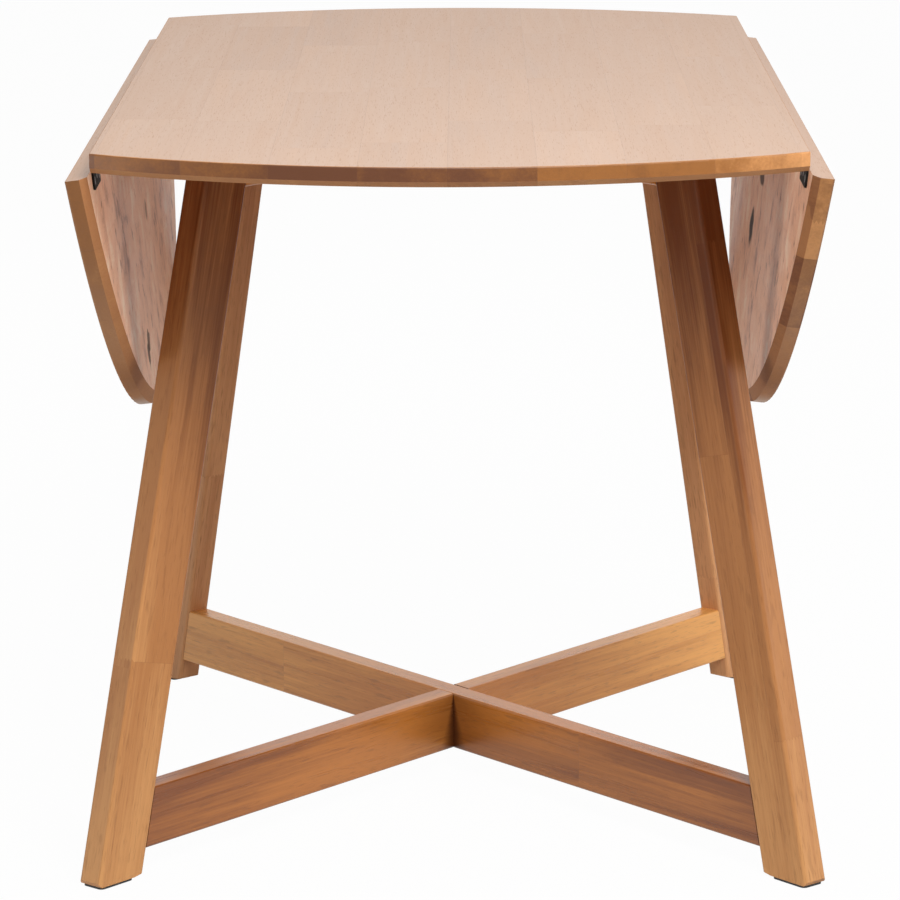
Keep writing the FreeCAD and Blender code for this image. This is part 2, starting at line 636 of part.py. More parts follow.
def build_hardware():
    """Hinges and stays of both sides."""
    for group in (right_panel_hardware(), right_leaf_hardware(), right_stay_arms()):
        for name, parts in group.items():
            write("right_" + name, parts)
            write("left_" + name, [mirrored(part) for part in parts])


os.makedirs("parts", exist_ok=True)
build_top()
build_base()
build_hardware()
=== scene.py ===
import json
import math
from dataclasses import dataclass, replace

import bpy
from mathutils import Matrix, Vector


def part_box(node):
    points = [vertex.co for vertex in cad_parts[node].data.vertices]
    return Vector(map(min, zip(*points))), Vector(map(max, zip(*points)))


# Looks of the butterfly folding table: every visible piece is a CAD node with a procedural material,
# on a white studio stage. Metres and radians; colours are written as 0-255 screen values.

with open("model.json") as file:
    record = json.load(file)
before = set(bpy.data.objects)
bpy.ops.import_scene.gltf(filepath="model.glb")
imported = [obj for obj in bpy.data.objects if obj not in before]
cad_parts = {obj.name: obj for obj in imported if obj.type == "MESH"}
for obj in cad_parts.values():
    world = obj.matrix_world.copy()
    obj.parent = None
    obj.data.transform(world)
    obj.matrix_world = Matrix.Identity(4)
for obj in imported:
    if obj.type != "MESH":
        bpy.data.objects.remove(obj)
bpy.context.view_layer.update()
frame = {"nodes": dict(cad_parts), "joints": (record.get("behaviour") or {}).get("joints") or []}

# ---------------------------------------------------------------- places
JOINTS = {joint["name"]: joint for joint in frame["joints"]}
FOLD = math.radians(JOINTS["right_leaf_hinge"]["range_deg"][1])
PIN = Vector(JOINTS["right_leaf_hinge"]["pos_m"])
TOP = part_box("centre_panel")[1].z
CROSSING_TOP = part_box("stretcher_upper")[1].z

# The grain's directions follow the legs. The frame doesn't hold these angles.
LEG_AZIMUTH = math.radians(49.5)
FRONT_SPLAY = math.radians(13.6)
REAR_SPLAY = math.radians(12.7)

ORIGIN = Vector((0, 0, 0))
X_AXIS = Vector((1, 0, 0))
Y_AXIS = Vector((0, 1, 0))
Z_AXIS = Vector((0, 0, 1))


# ---------------------------------------------------------------- node graph helper
class Graph:
    """Short names for the nodes of one material."""

    def __init__(self, name):
        self.material = bpy.data.materials.new(name)
        self.material.use_nodes = True
        self.tree = self.material.node_tree
        self.tree.nodes.clear()

    def node(self, kind, **settings):
        made = self.tree.nodes.new(kind)
        for key, value in settings.items():
            setattr(made, key, value)
        return made

    def feed(self, socket, value):
        """Links a socket, or sets a plain value."""
        if isinstance(value, bpy.types.NodeSocket):
            self.tree.links.new(value, socket)
        elif value is not None:
            socket.default_value = value

    def math(self, operation, a, b=None, c=None):
        made = self.node("ShaderNodeMath", operation=operation)
        for socket, value in zip(made.inputs, (a, b, c)):
            self.feed(socket, value)
        return made.outputs[0]

    def vector(self, operation, a, b=None):
        made = self.node("ShaderNodeVectorMath", operation=operation)
        self.feed(made.inputs[0], a)
        self.feed(made.inputs[1], b)
        return made.outputs[0]

    def combine(self, x, y, z):
        made = self.node("ShaderNodeCombineXYZ")
        for socket, value in zip(made.inputs, (x, y, z)):
            self.feed(socket, value)
        return made.outputs[0]

    def separate(self, vector):
        made = self.node("ShaderNodeSeparateXYZ")
        self.feed(made.inputs[0], vector)
        return made.outputs

    def place(self):
        """Object coordinates, which are metres of the rest pose."""
        return self.node("ShaderNodeTexCoord").outputs["Object"]

    def noise(self, vector, scale=1.0, detail=2.0, roughness=0.5, distortion=0.0):
        made = self.node("ShaderNodeTexNoise")
        self.feed(made.inputs["Vector"], vector)
        made.inputs["Scale"].default_value = scale
        made.inputs["Detail"].default_value = detail
        made.inputs["Roughness"].default_value = roughness
        made.inputs["Distortion"].default_value = distortion
        return made.outputs["Fac"]

    def stretched_noise(self, vector, scales, **settings):
        """Noise with its own scale along each axis."""
        return self.noise(self.vector("MULTIPLY", vector, scales), **settings)

    def white(self, vector):
        made = self.node("ShaderNodeTexWhiteNoise", noise_dimensions="3D")
        self.feed(made.inputs["Vector"], vector)
        return made.outputs["Value"], made.outputs["Color"]

    def smooth(self, value, low, high, start=0.0, end=1.0):
        """Smooth step of a value from low to high."""
        made = self.node("ShaderNodeMapRange", interpolation_type="SMOOTHSTEP")
        for socket, part in zip(made.inputs, (value, low, high, start, end)):
            self.feed(socket, part)
        return made.outputs[0]

    def sloped(self, value, gain, base):
        """A base plus a value times a gain."""
        return self.math("MULTIPLY_ADD", value, gain, base)

    def around_middle(self, value, gain, base):
        """A base plus what a value differs from a half, times a gain."""
        return self.sloped(self.math("SUBTRACT", value, 0.5), gain, base)

    def mix(self, factor, a, b):
        """Colour mix; colours are tuples of three or sockets."""
        made = self.node("ShaderNodeMix", data_type="RGBA")
        self.feed(made.inputs[0], factor)
        self.feed(made.inputs[6], a if isinstance(a, bpy.types.NodeSocket) else (*a, 1.0))
        self.feed(made.inputs[7], b if isinstance(b, bpy.types.NodeSocket) else (*b, 1.0))
        return made.outputs[2]

    def bump(self, height, strength, distance):
        made = self.node("ShaderNodeBump")
        made.inputs["Strength"].default_value = strength
        made.inputs["Distance"].default_value = distance
        self.feed(made.inputs["Height"], height)
        return made.outputs[0]

    def finish(self, colour, roughness, normal, **constants):
        """Principled surface; constants are set on the shader's own sockets."""
        shader = self.node("ShaderNodeBsdfPrincipled")
        self.feed(shader.inputs["Base Color"], colour)
        self.feed(shader.inputs["Roughness"], roughness)
        self.feed(shader.inputs["Normal"], normal)
        for key, value in constants.items():
            shader.inputs[key.replace("_", " ")].default_value = value
        output = self.node("ShaderNodeOutputMaterial")
        self.tree.links.new(shader.outputs[0], output.inputs[0])
        return self.material


def srgb(r, g, b):
    """Linear colour of a 0-255 screen colour."""
    def linear(c):
        c /= 255.0
        return c / 12.92 if c <= 0.04045 else ((c + 0.055) / 1.055) ** 2.4
    return linear(r), linear(g), linear(b)


def paint(material, *nodes):
    """Gives CAD nodes one material."""
    for name in nodes:
        mesh = frame["nodes"][name].data
        mesh.materials.clear()
        mesh.materials.append(material)


# ---------------------------------------------------------------- tones of the wood
# Dark, middle and light
SAP = (srgb(104, 54, 20), srgb(164, 111, 66), srgb(194, 143, 92))
REAR_SAP = (srgb(112, 62, 34), srgb(171, 114, 72), srgb(206, 152, 106))
MEMBER_TONES = (srgb(118, 64, 22), srgb(180, 114, 50), srgb(228, 164, 90))
TOP_TONES = (srgb(136, 98, 70), srgb(162, 123, 92), srgb(178, 140, 110))
END_TONES = (srgb(84, 42, 6), srgb(134, 82, 26), srgb(200, 140, 82))
RAW_TONES = (srgb(172, 114, 80), srgb(238, 187, 150), srgb(252, 224, 196))
DOWEL_TONES = (srgb(176, 132, 84), srgb(206, 164, 114), srgb(222, 186, 140))
PORE = srgb(92, 52, 26)
KNOT = srgb(38, 17, 7)
CROSSING_SHADE = srgb(66, 27, 3)

# Tone values at which a board is darkest, middling and lightest
DARKEST = 0.05
MIDDLING = 0.5
LIGHTEST = 0.95


@dataclass(frozen=True)
class Look:
    """How one board looks. A tone value runs from 0, dark, to 1, light."""
    tones: tuple = SAP
    stave: float = 0.08           # width of a glued-up stave
    block: float = 0.5            # length of a finger-jointed block
    shift: float = 0.37           # of the staves across the board, in staves
    contrast: float = 0.35        # tone of one block against the next
    streaks: float = 0.8          # strength of the grain
    figure_scale: float = 70.0    # of the broad streaks, across the grain
    painted_shading_per_metre: float = 0.0       # painted light and shade: tone added per metre along the grain
    painted_top_light: float = 0.0       # painted light: tone added on faces that look up
    edge_painted_light: float = 0.0        # painted light and shade: tone added on the sloping edge
    end_contrast: float = 0.25    # tone of one block's end grain against the next
    end_lift: float = 0.0         # tone added on end grain
    end_painted_shading: tuple = (0.0, 0.0)   # painted light and shade on end grain: where across the board it is darkest, and how fast it gets lighter from there, per square metre
                                  # gets lighter from there, per square metre
    dark_row: float = None        # stave whose end grain is darker still
    roughness: float = 0.42
    specular: float = 0.3
    pore_depth: float = 0.3
    flecks: float = 0.0           # strength of the short dark flecks
    corner: bool = False          # shade in the inner corners of the crossing
    board_edges: bool = False     # unstained underside, and a duller sloping edge
    knots: tuple = ()             # place and half size along and across, raggedness, depth


TOP_LOOK = Look(tones=TOP_TONES, stave=0.082, block=0.40, contrast=0.25, streaks=0.3,
                end_contrast=0.15, roughness=0.43, specular=0.5, pore_depth=0.12, board_edges=True)
LEG_LOOK = Look(contrast=0.15, streaks=0.5, figure_scale=50.0, specular=0.22, flecks=0.2)
MEMBER_LOOK = Look(tones=MEMBER_TONES, stave=0.2, shift=0.5, contrast=0.15, streaks=0.5,
                   painted_top_light=0.15, roughness=0.29, specular=0.5, flecks=0.25, corner=True)
DOWEL_LOOK = Look(tones=DOWEL_TONES, stave=0.2, block=0.9)

# Marks on the leaves' inner faces, measured from the pin
RIGHT_KNOTS = (((0.062, -0.147), (0.024, 0.021), 0.7, 1.0),
               ((0.003, -0.086), (0.030, 0.008), 0.6, 0.9))
LEFT_KNOTS = (((-0.150, 0.232), (0.014, 0.013), 1.6, 0.8),
              ((-0.165, 0.243), (0.013, 0.013), 1.6, 0.8),
              ((0.010, 0.120), (0.012, 0.011), 0.8, 0.5))

# ---------------------------------------------------------------- patterns of the wood
# Shares of a surface that faces a direction start and end at these cosines
END_FACING = (0.45, 0.8)
FLAT_FACING = (0.93, 0.97)
UPPER_FACING = (0.8, 0.95)

SEAM_LINE = 0.0004        # half width of the dark line between blocks
SEAM_DEPTH = 0.25
FINGER_PITCH = 0.004
FINGER_SLOPE = 1.5
ROW_SEED = 3.1
ROW_SCATTER = 9.0         # blocks by which a stave may lie further along
GRAIN_SCATTER = (17.0, 13.0, 11.0)  # metres by which a block's grain may lie elsewhere
DARK_ROW_DROP = -0.45
ROW_TOLERANCE = 0.1       # rows are whole numbers

# Noise scales along the grain, across and through the board
BROAD_SCALES = (1.6, 16.0, 16.0)
FIGURE_ALONG = 3.0
FIBRE_SCALES = (9.0, 420.0, 420.0)
PORE_SCALES = (55.0, 1100.0, 1100.0)
FLECK_SCALES = (28.0, 190.0, 190.0)
BLOTCH_SCALES = (9.0, 9.0, 9.0)
SPOT_SCALES = (30.0, 26.0, 26.0)
SPECK_SCALES = (48.0, 38.0, 38.0)
# Noise values from which a mark begins, and at which it is full
PORE_RANGE = (0.60, 0.72)
FLECK_RANGE = (0.61, 0.70)
SPECK_RANGE = (0.60, 0.74)

# Shares of each pattern in the tone of a stained and an unstained board
BROAD_SHARE = 1.1
FIBRE_SHARE = 0.55
RAW_BASE = 0.52
BLOTCH_SHARE = 1.5
SPOT_SHARE = 1.3
SPECK_SHARE = 0.45

# What is added to a board's roughness
FIGURE_ROUGHNESS = 0.2
PORE_ROUGHNESS = 0.1
EDGE_ROUGHNESS = 0.35
RAW_ROUGHNESS = -0.26
KNOT_ROUGHNESS = 0.3

# Height of the surface, in shares of the bump's depth
PORE_HOLLOW = 0.7
SEAM_HOLLOW = 0.6
FIBRE_RIDGE = 0.25
BUMP_STRENGTH = 0.25
BUMP_DEPTH = 0.0004

KNOT_WOBBLE_SCALE = 90.0
KNOT_RIM = (0.7, 1.15)    # shares of a knot's half size between which it fades

# Shade in the inner corners of the crossing: a dark wedge that widens downwards, and a faint veil
CORNER_PLACE = 0.020      # of the front and back corners, from the crossing's centre along Y
WEDGE_SPREAD = 0.6        # reach of the wedge for each metre below the stretchers' tops
WEDGE_LEAST = 0.001
WEDGE_DEPTH = 0.95
VEIL_REACH = 0.09
VEIL_DEPTH = 0.35
SHADED_SIDES = (-0.03, -0.01)  # how far in front of the members' sides the shade begins


def board_coordinates(g, axes, origin):
    """Object coordinates turned so that X runs along the board's grain, Y across and Z through it."""
    rows = Matrix(axes)
    source = g.node("ShaderNodeTexCoord")
    mapping = g.node("ShaderNodeMapping", vector_type="POINT")
    mapping.inputs["Rotation"].default_value = rows.to_euler("XYZ")
    mapping.inputs["Location"].default_value = -(rows @ origin)
    g.feed(mapping.inputs["Vector"], source.outputs["Object"])
    return mapping.outputs[0], source.outputs["Normal"]


def facing(g, normal, axis, cosines):
    """Share of a surface that faces along an axis."""
    made = g.node("ShaderNodeVectorMath", operation="DOT_PRODUCT")
    g.feed(made.inputs[0], normal)
    made.inputs[1].default_value = axis
    return g.smooth(made.outputs["Value"], *cosines)


def blocks(g, local, seed, look):
    """Row and column of the glued-up block at a place, and how near it is to a seam."""
    u, v, w = g.separate(local)
    stave_place = g.math("ADD", g.math("DIVIDE", v, look.stave), look.shift)
    row = g.math("FLOOR", stave_place)
    row_shift, _ = g.white(g.combine(row, seed, ROW_SEED))
    finger = g.math("MULTIPLY", g.math("PINGPONG", w, FINGER_PITCH / 2), FINGER_SLOPE)
    along = g.math("DIVIDE", g.math("ADD", u, finger), look.block)
    block_place = g.math("ADD", along, g.math("MULTIPLY", row_shift, ROW_SCATTER))
    column = g.math("FLOOR", block_place)
    near = []
    for place, size in ((stave_place, look.stave), (block_place, look.block)):
        to_seam = g.math("PINGPONG", place, 0.5)
        near.append(g.math("SUBTRACT", 1.0, g.smooth(to_seam, 0.0, SEAM_LINE / size)))
    return row, column, g.math("MAXIMUM", *near)


def three_tones(g, value, tones):
    """Dark, middle and light colour of a tone value."""
    low = g.mix(g.smooth(value, DARKEST, MIDDLING), tones[0], tones[1])
    return g.mix(g.smooth(value, MIDDLING, LIGHTEST), low, tones[2])


def blotched(g, local):
    """Unstained board face: soft blotches, spots and dark specks."""
    broad = g.stretched_noise(local, BLOTCH_SCALES, detail=3.0, roughness=0.6)
    spots = g.stretched_noise(local, SPOT_SCALES, detail=3.0, roughness=0.65, distortion=0.8)
    specks = g.smooth(g.stretched_noise(local, SPECK_SCALES, detail=3.0), *SPECK_RANGE)
    value = g.around_middle(broad, BLOTCH_SHARE, RAW_BASE)
    value = g.around_middle(spots, SPOT_SHARE, value)
    value = g.math("SUBTRACT", value, g.math("MULTIPLY", specks, SPECK_SHARE))
    return three_tones(g, value, RAW_TONES)


def knot_factor(g, local, place, half_size, raggedness):
    """One over a knot at a place (along and across the grain), falling to zero at its ragged rim."""
    wobble = g.noise(local, scale=KNOT_WOBBLE_SCALE, detail=2.0)
    from_middle = g.vector("SUBTRACT", local, (*place, 0.0))
    scaled = g.vector("MULTIPLY", from_middle, (1.0 / half_size[0], 1.0 / half_size[1], 0.0))
    length = g.node("ShaderNodeVectorMath", operation="LENGTH")
    g.feed(length.inputs[0], scaled)
    radius = g.around_middle(wobble, raggedness, length.outputs["Value"])
    return g.math("SUBTRACT", 1.0, g.smooth(radius, *KNOT_RIM))


def corner_factor(g, normal):
    """Shade on the stretchers' sides by the inner corners of their crossing, wider lower down."""
    x, y, z = g.separate(g.place())
    beyond = g.math("SUBTRACT", g.math("ABSOLUTE", y), CORNER_PLACE)
    squares = g.math("ADD", g.math("MULTIPLY", x, x), g.math("MULTIPLY", beyond, beyond))
    distance = g.math("SQRT", squares)
    drop = g.math("SUBTRACT", CROSSING_TOP, z)
    reach = g.math("MAXIMUM", g.math("MULTIPLY", drop, WEDGE_SPREAD), WEDGE_LEAST)
    wedge = g.smooth(distance, reach, 0.0, 0.0, WEDGE_DEPTH)
    veil = g.smooth(distance, VEIL_REACH, 0.0, 0.0, VEIL_DEPTH)
    side = g.math("SUBTRACT", 1.0, facing(g, normal, Z_AXIS, UPPER_FACING))
    slant = g.math("MULTIPLY", g.math("ABSOLUTE", x), math.tan(LEG_AZIMUTH))
    shaded = g.smooth(g.math("SUBTRACT", beyond, slant), *SHADED_SIDES)
    return g.math("MULTIPLY", g.math("MULTIPLY", g.math("MAXIMUM", wedge, veil), side), shaded)


def end_tone(g, base, between, row, v, look):
    """Tone value of end grain."""
    value = g.sloped(between, look.end_contrast, base)
    if look.dark_row is not None:
        same = g.math("COMPARE", row, look.dark_row, ROW_TOLERANCE)
        value = g.sloped(same, DARK_ROW_DROP, value)
    # Painted light and shade across the end grain: darkest at one place and lighter to either side,
    # on top of the blocks' own tones
    dip_place, dip_rise = look.end_painted_shading
    from_dip = g.math("SUBTRACT", v, dip_place)
    value = g.sloped(g.math("MULTIPLY", from_dip, from_dip), dip_rise, value)
    return g.math("ADD", value, look.end_lift)


def edge_and_underside(g, local, normal, axes, end_grain, face_value, colour, gloss, look):
    """Adds the duller sloping edge and the unstained underside with its knots."""
    below = facing(g, normal, -axes[2], FLAT_FACING)
    flat = g.math("MAXIMUM", facing(g, normal, axes[2], FLAT_FACING), end_grain)
    for direction in (axes[1], -axes[1]):
        flat = g.math("MAXIMUM", flat, facing(g, normal, direction, FLAT_FACING))
    edge = three_tones(g, g.math("ADD", face_value, look.edge_painted_light), SAP)
    colour = g.mix(flat, edge, colour)
    gloss = g.sloped(g.math("SUBTRACT", 1.0, flat), EDGE_ROUGHNESS, gloss)
    raw = blotched(g, local)
    for place, half_size, raggedness, depth in look.knots:
        knot = g.math("MULTIPLY", knot_factor(g, local, place, half_size, raggedness), depth)
        raw = g.mix(knot, raw, KNOT)
        gloss = g.sloped(g.math("MULTIPLY", knot, below), KNOT_ROUGHNESS, gloss)
    colour = g.mix(below, colour, raw)
    return colour, g.sloped(below, RAW_ROUGHNESS, gloss)


def wood(name, axes, origin, seed, look):
    """Glued-up staves of finger-jointed blocks, each block with its own grain and tone.

    The axes run along the grain, across the board and through it.
    """
    g = Graph(name)
    seed = float(seed)
    local, normal = board_coordinates(g, axes, origin)
    u, v, _ = g.separate(local)
    row, column, seam = blocks(g, local, seed, look)
    tone, scatter = g.white(g.combine(row, column, seed))
    end_grain = g.math("MAXIMUM", facing(g, normal, axes[0], END_FACING),
                       facing(g, normal, -axes[0], END_FACING))

    grain = g.vector("ADD", local, g.vector("MULTIPLY", scatter, GRAIN_SCATTER))
    figure_scales = (FIGURE_ALONG, look.figure_scale, look.figure_scale)
    broad = g.stretched_noise(grain, BROAD_SCALES, detail=2.0)
    figure = g.stretched_noise(grain, figure_scales, detail=3.0, roughness=0.55, distortion=0.6)
    fibre = g.stretched_noise(grain, FIBRE_SCALES, detail=2.0)
    pores = g.smooth(g.stretched_noise(grain, PORE_SCALES, detail=1.0), *PORE_RANGE)

    base = g.around_middle(broad, BROAD_SHARE * look.streaks, MIDDLING)
    base = g.around_middle(figure, look.streaks, base)
    base = g.around_middle(fibre, FIBRE_SHARE * look.streaks, base)
    # Painted light and shade along the grain: legs darker towards the top, under the table top;
    # stretchers lighter towards the back
    base = g.sloped(u, look.painted_shading_per_metre, base)
    between = g.math("SUBTRACT", tone, 0.5)
    face_value = g.sloped(between, look.contrast, base)
    # Painted light: faces that look up are made lighter, as if lit from above
    if look.painted_top_light:
        upper = facing(g, normal, Z_AXIS, UPPER_FACING)
        face_value = g.sloped(upper, look.painted_top_light, face_value)
    end_value = end_tone(g, base, between, row, v, look)
    face = three_tones(g, face_value, look.tones)
    colour = g.mix(end_grain, face, three_tones(g, end_value, END_TONES))
    gloss = g.around_middle(figure, FIGURE_ROUGHNESS, look.roughness)
    gloss = g.sloped(pores, PORE_ROUGHNESS, gloss)
    if look.board_edges:
        colour, gloss = edge_and_underside(g, local, normal, axes, end_grain, face_value,
                                           colour, gloss, look)

    colour = g.mix(g.math("MULTIPLY", pores, look.pore_depth), colour, PORE)
    if look.flecks:
        flecks = g.smooth(g.stretched_noise(grain, FLECK_SCALES, detail=2.0), *FLECK_RANGE)
        colour = g.mix(g.math("MULTIPLY", flecks, look.flecks), colour, PORE)
    if look.corner:
        colour = g.mix(corner_factor(g, normal), colour, CROSSING_SHADE)
    colour = g.mix(g.math("MULTIPLY", seam, SEAM_DEPTH), colour, PORE)

    height = g.math("SUBTRACT", 1.0, g.math("MULTIPLY", pores, PORE_HOLLOW))
    height = g.math("SUBTRACT", height, g.math("MULTIPLY", seam, SEAM_HOLLOW))
    height = g.math("ADD", height, g.math("MULTIPLY", fibre, FIBRE_RIDGE))
    bumped = g.bump(height, BUMP_STRENGTH, BUMP_DEPTH)
    return g.finish(colour, gloss, bumped, Specular_IOR_Level=look.specular)


# ---------------------------------------------------------------- wooden pieces
LEG_GRAIN_RADIUS = 0.46    # a leg's grain starts at this distance from the table's centre line
MEMBER_GRAIN_HEIGHT = 0.058
# Each board's grain has a seed of its own; these are the first ones of each kind
PANEL_SEED = 1
LEAF_SEED = 2
LEG_SEED = 11
MEMBER_SEED = 21
DOWEL_SEED = 31


def radial(azimuth):
    """Level unit vector at a plan angle."""
    return Vector((math.cos(azimuth), math.sin(azimuth), 0))


def top_axes(turn):
    """Axes of the top's boards after a turn about Y: grain to the back, then across, then up."""
    rotation = Matrix.Rotation(turn, 3, "Y")
    return [Y_AXIS, rotation @ -X_AXIS, rotation @ Z_AXIS]


def leg_axes(azimuth, splay):
    """Grain up the leg's slope, then across its wide face, then through it."""
    out = radial(azimuth)
    up = (Z_AXIS * math.cos(splay) - out * math.sin(splay)).normalized()
    through = out.cross(Z_AXIS)
    return [up, through.cross(up), through]


def member_axes(azimuth):
    """Grain along a stretcher or rail, then up its side, then through it."""
    along = radial(azimuth)
    return [along, Z_AXIS, along.cross(Z_AXIS)]


def dress_top():
    """Panel and leaves."""
    # The panel's front edge gets painted light and shade across it: darkest left of the middle, much
    # lighter towards its right end
    panel = replace(TOP_LOOK, shift=-0.024, dark_row=1.0, end_painted_shading=(0.136, 2.65), end_lift=-0.35)
    paint(wood("wood_panel", top_axes(0.0), Z_AXIS * TOP, PANEL_SEED, panel), "centre_panel")
    leaf = replace(TOP_LOOK, shift=0.07)
    # Painted shade on the right leaf's sloping edge and a little painted light on the left leaf's,
    # for the stronger light from the right
    right = replace(leaf, end_lift=0.20, edge_painted_light=-0.18, knots=RIGHT_KNOTS)
    left = replace(leaf, end_lift=0.0, edge_painted_light=0.05, knots=LEFT_KNOTS)
    leaves = (("right_leaf", 1, right), ("left_leaf", -1, left))
    for seed, (name, sign, look) in enumerate(leaves, start=LEAF_SEED):
        pin = Vector((sign * PIN.x, 0, PIN.z))
        paint(wood("wood_" + name, top_axes(sign * FOLD), pin, seed, look), name)


def dress_base():
    """Legs, stretchers and top rails."""
    # Azimuth, splay, height at which the painted shade is nil, painted shade per metre (darker
    # towards the top, under the table top), tones
    legs = {"leg_rear_right": (LEG_AZIMUTH, REAR_SPLAY, 1.1, -0.35, REAR_SAP),
            "leg_rear_left": (math.pi - LEG_AZIMUTH, REAR_SPLAY, 1.2, -0.35, REAR_SAP),
            "leg_front_left": (math.pi + LEG_AZIMUTH, FRONT_SPLAY, 0.28, -0.85, SAP),
            "leg_front_right": (-LEG_AZIMUTH, FRONT_SPLAY, 0.22, -0.85, SAP)}
    for seed, (name, values) in enumerate(legs.items(), start=LEG_SEED):
        azimuth, splay, neutral_height, painted_shading_per_metre, tones = values
        origin = radial(azimuth) * LEG_GRAIN_RADIUS + Z_AXIS * neutral_height
        look = replace(LEG_LOOK, tones=tones, painted_shading_per_metre=painted_shading_per_metre)
        paint(wood("wood_" + name, leg_axes(azimuth, splay), origin, seed, look), name)
    # Azimuth, painted light per metre along the member (lighter towards the back)
    members = {"stretcher_lower": (LEG_AZIMUTH, 1.0), "stretcher_upper": (-LEG_AZIMUTH, -0.9),
               "top_rail_lower": (LEG_AZIMUTH, 0.0), "top_rail_upper": (-LEG_AZIMUTH, 0.0)}
    for seed, (name, (azimuth, painted_shading_per_metre)) in enumerate(members.items(), start=MEMBER_SEED):
        look = replace(MEMBER_LOOK, painted_shading_per_metre=painted_shading_per_metre)
        origin = Z_AXIS * MEMBER_GRAIN_HEIGHT
        paint(wood("wood_" + name, member_axes(azimuth), origin, seed, look), name)
    dowel_wood = wood("wood_dowels", [X_AXIS, Y_AXIS, Z_AXIS], ORIGIN, DOWEL_SEED, DOWEL_LOOK)
    paint(dowel_wood, "stretcher_dowels", "top_rail_dowels")


# ---------------------------------------------------------------- metal and plastic
BLACK_DARK = srgb(22, 20, 19)
BLACK_RUBBED = srgb(44, 41, 39)
PAD_DARK = srgb(24, 22, 21)
PAD_DUSTY = srgb(58, 52, 47)
# Tint and roughness
SCREW_STEEL = (srgb(120, 116, 112), 0.38)
RIVET_STEEL = (srgb(150, 150, 150), 0.32)
SPRING_STEEL = (srgb(110, 118, 130), 0.28)
STAIN_SHADE = 0.55        # brightness of stained steel against clean steel
BRUSH_SCALES = (900.0, 120.0, 900.0)


def black_steel():
    """Black powder-coated steel with a fine orange peel and faint rubbed patches."""
    g = Graph("black_steel")
    place = g.place()
    cloud = g.noise(place, scale=60.0, detail=4.0)
    grain = g.noise(place, scale=2200.0, detail=1.0)
    colour = g.mix(g.smooth(cloud, low=0.58, high=0.75), BLACK_DARK, BLACK_RUBBED)
    roughness = g.sloped(cloud, gain=0.2, base=0.6)
    bumped = g.bump(grain, strength=0.25, distance=0.0002)
    return g.finish(colour, roughness, bumped, Specular_IOR_Level=0.15)


def plain_steel(name, tint, rough):
    """Bare or plated steel, finely brushed."""
    g = Graph(name)
    place = g.place()
    brushed = g.stretched_noise(place, BRUSH_SCALES, detail=2.0)
    stain = g.noise(place, scale=90.0, detail=3.0)
    dark = tuple(channel * STAIN_SHADE for channel in tint)
    colour = g.mix(g.smooth(stain, low=0.3, high=0.7), dark, tint)
    roughness = g.around_middle(brushed, gain=0.3, base=rough)
    bumped = g.bump(brushed, strength=0.15, distance=0.0001)
    return g.finish(colour, roughness, bumped, Metallic=1.0)


def pad_plastic():
    """Dark moulded foot pad with a fine texture and dusty patches."""
    g = Graph("pad_plastic")
    place = g.place()
    grain = g.noise(place, scale=1800.0, detail=2.0)
    dust = g.noise(place, scale=120.0, detail=3.0)
    colour = g.mix(g.smooth(dust, low=0.45, high=0.8), PAD_DARK, PAD_DUSTY)
    roughness = g.sloped(dust, gain=0.2, base=0.55)
    return g.finish(colour, roughness, g.bump(grain, strength=0.3, distance=0.0002))


def dress_hardware():
    """Hinges, stays, fasteners and foot pads."""
    def paint_sides(material, *parts):
        paint(material, *[side + part for part in parts for side in ("left_", "right_")])

    paint_sides(black_steel(), "hinge_panel_plates", "hinge_leaf_plates", "stay_panel_bracket",
                "stay_leaf_bracket", "stay_panel_arm", "stay_leaf_arm")
    screw_steel = plain_steel("steel_screws", *SCREW_STEEL)
    paint_sides(screw_steel, "hinge_panel_screws", "hinge_leaf_screws",
                "stay_panel_screws", "stay_leaf_screws")
    paint(screw_steel, "foot_pad_screws", "lap_screws", "top_rail_screws")
    paint_sides(plain_steel("steel_rivets", *RIVET_STEEL),
                "hinge_pins", "stay_panel_pivot", "stay_leaf_pivot", "stay_knee_rivet")
    paint_sides(plain_steel("steel_springs", *SPRING_STEEL), "stay_knee_spring")
    paint(pad_plastic(), "foot_pads")


# ---------------------------------------------------------------- stage, lights and camera
FLOOR_SIZE = 30.0
FLOOR_GREY = (0.6, 0.6, 0.6, 1.0)   # as the light finds it
FLOOR_GLOW_SHARE = 0.975            # white share of the floor as the camera sees it
WORLD_LIGHT = (1.0, 0.98, 0.96, 1.0)
WORLD_STRENGTH = 0.26
WHITE = (1.0, 1.0, 1.0, 1.0)
LAMP_COLOUR = (1.0, 0.98, 0.95)
LAMP_TARGET = Vector((0, 0, 0.3))
KEY_TARGET = Vector((0, -0.1, 0.3))
# Name, place, target, size of the soft box, watts
LAMPS = (("back", (0.2, 2.4, 3.0), LAMP_TARGET, 2.0, 42.0),
         ("key", (0.8, -2.9, 3.0), KEY_TARGET, 1.6, 160.0),
         ("left", (-3.2, -1.4, 0.35), LAMP_TARGET, 0.8, 18.0),
         ("right", (3.2, -0.9, 0.7), LAMP_TARGET, 1.4, 24.0))

# Fitted to the photograph's outline
CAMERA_PLACE = Vector((0.01451, -4.5509, 1.33759))
CAMERA_YAW = -0.00378
CAMERA_PITCH = 0.2128
CAMERA_ROLL = -0.00353
LENS_MM = 173.453
SENSOR_MM = 36.0


def background_mix(tree, plain, white):
    """White for rays that look at the background, the plain surface for light."""
    path = tree.nodes.new("ShaderNodeLightPath")
    seen = path.outputs["Is Camera Ray"]
    for ray in ("Is Glossy Ray", "Is Transmission Ray"):
        either = tree.nodes.new("ShaderNodeMath")
        either.operation = "ADD"
        either.use_clamp = True
        tree.links.new(seen, either.inputs[0])
        tree.links.new(path.outputs[ray], either.inputs[1])
        seen = either.outputs[0]
    mix = tree.nodes.new("ShaderNodeMixShader")
    for socket, source in zip(mix.inputs, (seen, plain, white)):
        tree.links.new(source, socket)
    return mix.outputs[0]


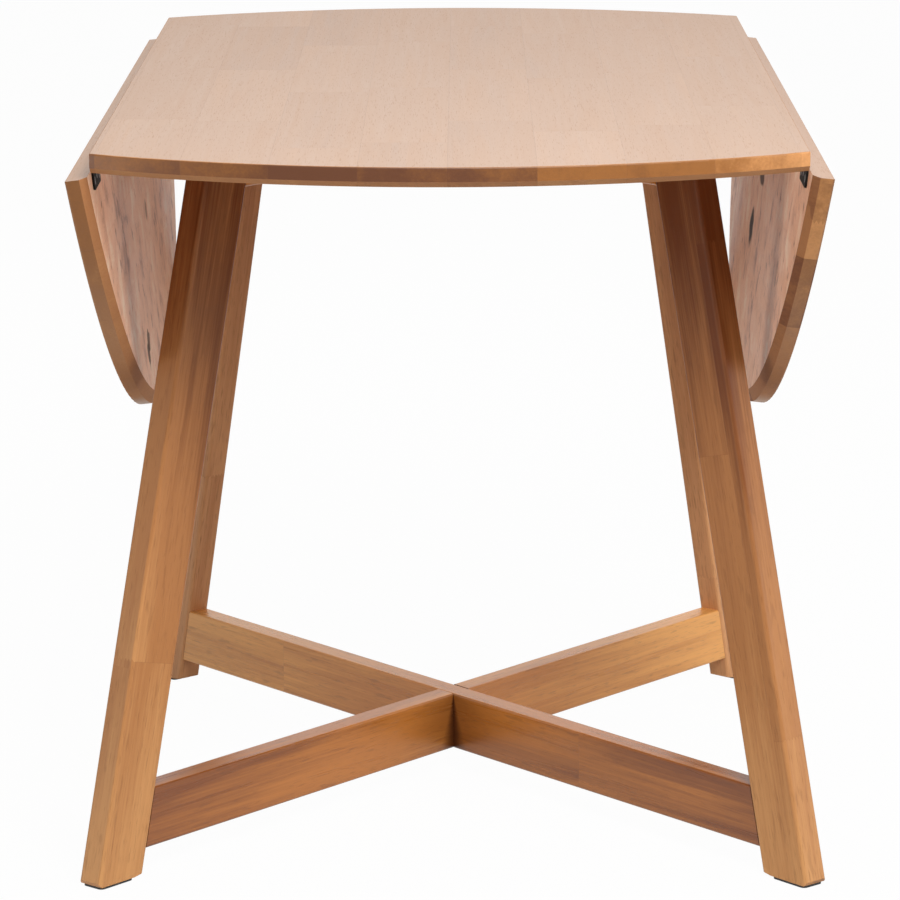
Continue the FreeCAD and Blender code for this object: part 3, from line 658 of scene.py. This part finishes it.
def make_floor():
    """Pale floor that keeps a faint shadow."""
    bpy.ops.mesh.primitive_plane_add(size=FLOOR_SIZE, location=(0, 0, 0))
    floor = bpy.context.object
    floor.name = "floor"
    material = bpy.data.materials.new("floor_white")
    material.use_nodes = True
    tree = material.node_tree
    tree.nodes.clear()
    matt = tree.nodes.new("ShaderNodeBsdfDiffuse")
    matt.inputs["Color"].default_value = FLOOR_GREY
    glow = tree.nodes.new("ShaderNodeEmission")
    glow.inputs["Strength"].default_value = 1.0
    veil = tree.nodes.new("ShaderNodeMixShader")
    veil.inputs[0].default_value = FLOOR_GLOW_SHARE
    tree.links.new(matt.outputs[0], veil.inputs[1])
    tree.links.new(glow.outputs[0], veil.inputs[2])
    output = tree.nodes.new("ShaderNodeOutputMaterial")
    tree.links.new(background_mix(tree, matt.outputs[0], veil.outputs[0]), output.inputs[0])
    floor.data.materials.append(material)


def make_world():
    """Soft even light, with white for whatever looks at it."""
    world = bpy.data.worlds.new("studio")
    bpy.context.scene.world = world
    world.use_nodes = True
    tree = world.node_tree
    tree.nodes.clear()
    backgrounds = []
    for colour, strength in ((WORLD_LIGHT, WORLD_STRENGTH), (WHITE, 1.0)):
        background = tree.nodes.new("ShaderNodeBackground")
        background.inputs["Color"].default_value = colour
        background.inputs["Strength"].default_value = strength
        backgrounds.append(background.outputs[0])
    output = tree.nodes.new("ShaderNodeOutputWorld")
    tree.links.new(background_mix(tree, *backgrounds), output.inputs[0])


def make_lamp(name, place, target, size, power):
    """Square soft box that looks at a target."""
    data = bpy.data.lights.new(name, "AREA")
    data.size = size
    data.energy = power
    data.color = LAMP_COLOUR
    light = bpy.data.objects.new(name, data)
    bpy.context.collection.objects.link(light)
    light.location = place
    light.rotation_euler = (target - Vector(place)).to_track_quat("-Z", "Y").to_euler()


def make_camera():
    """The photograph's viewpoint."""
    level = Vector((math.cos(CAMERA_YAW), -math.sin(CAMERA_YAW), 0))
    forward = Vector((math.sin(CAMERA_YAW) * math.cos(CAMERA_PITCH),
                      math.cos(CAMERA_YAW) * math.cos(CAMERA_PITCH), -math.sin(CAMERA_PITCH)))
    upward = level.cross(forward)
    right = level * math.cos(CAMERA_ROLL) + upward * math.sin(CAMERA_ROLL)
    up = upward * math.cos(CAMERA_ROLL) - level * math.sin(CAMERA_ROLL)
    data = bpy.data.cameras.new("camera")
    data.lens = LENS_MM
    data.sensor_width = SENSOR_MM
    camera = bpy.data.objects.new("camera", data)
    bpy.context.collection.objects.link(camera)
    rotation = Matrix((right, up, -forward)).transposed().to_4x4()
    camera.matrix_world = Matrix.Translation(CAMERA_PLACE) @ rotation
    bpy.context.scene.camera = camera


dress_top()
dress_base()
dress_hardware()
make_floor()
make_world()
for lamp in LAMPS:
    make_lamp(*lamp)
make_camera()

bpy.context.scene.view_settings.view_transform = "Standard"
